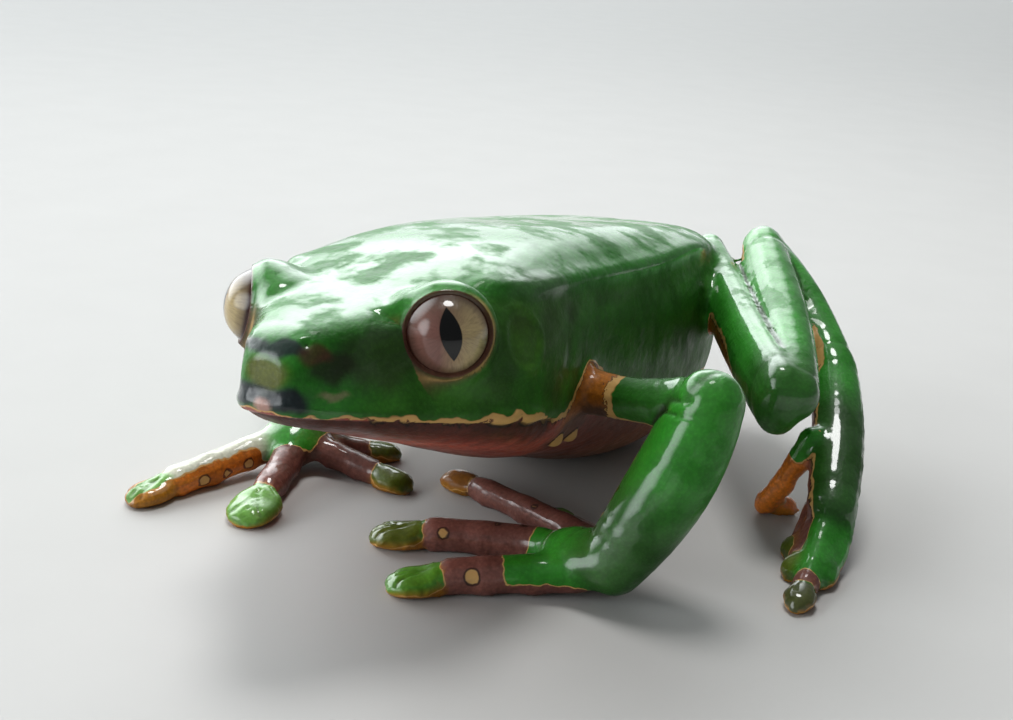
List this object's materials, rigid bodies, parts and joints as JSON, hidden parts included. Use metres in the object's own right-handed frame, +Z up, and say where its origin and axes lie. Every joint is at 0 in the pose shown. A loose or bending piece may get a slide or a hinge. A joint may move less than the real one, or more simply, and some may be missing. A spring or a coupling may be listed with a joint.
{
  "type": "giant monkey frog",
  "caption": "Life-size crouching tree frog, a still museum-style model with head raised, hands and feet spread flat and hind legs folded along its sides.",
  "frame": {"origin": "middle of the animal's plan, on the floor it sits on", "axes": "+X is the frog's left, -Y is the way its snout points, +Z is up"},
  "size_m": [0.1029, 0.1133, 0.0413],
  "materials": {
    "skin": "moist, glossy amphibian skin: saturated green above, red-brown throat and digits, cream spots and dark-edged patches",
    "eye": "wet and polished: silvery pink iris, darker rim, upright black pupil slit"
  },
  "bodies": {
    "root": {"eye_left": "eye", "eye_right": "eye", "finger_1_left": "skin", "finger_1_right": "skin", "finger_2_left": "skin", "finger_2_right": "skin", "finger_3_left": "skin", "finger_3_right": "skin", "finger_4_left": "skin", "finger_4_right": "skin", "foot_left": "skin", "foot_right": "skin", "forearm_left": "skin", "forearm_right": "skin", "hand_left": "skin", "hand_right": "skin", "head": "skin", "lower_jaw": "skin", "shank_left": "skin", "shank_right": "skin", "tarsus_left": "skin", "tarsus_right": "skin", "thigh_left": "skin", "thigh_right": "skin", "toe_1_left": "skin", "toe_1_right": "skin", "toe_2_left": "skin", "toe_2_right": "skin", "toe_3_left": "skin", "toe_3_right": "skin", "toe_4_left": "skin", "toe_4_right": "skin", "toe_5_left": "skin", "toe_5_right": "skin", "trunk": "skin", "upper_arm_left": "skin", "upper_arm_right": "skin"}
  },
  "joints": []
}
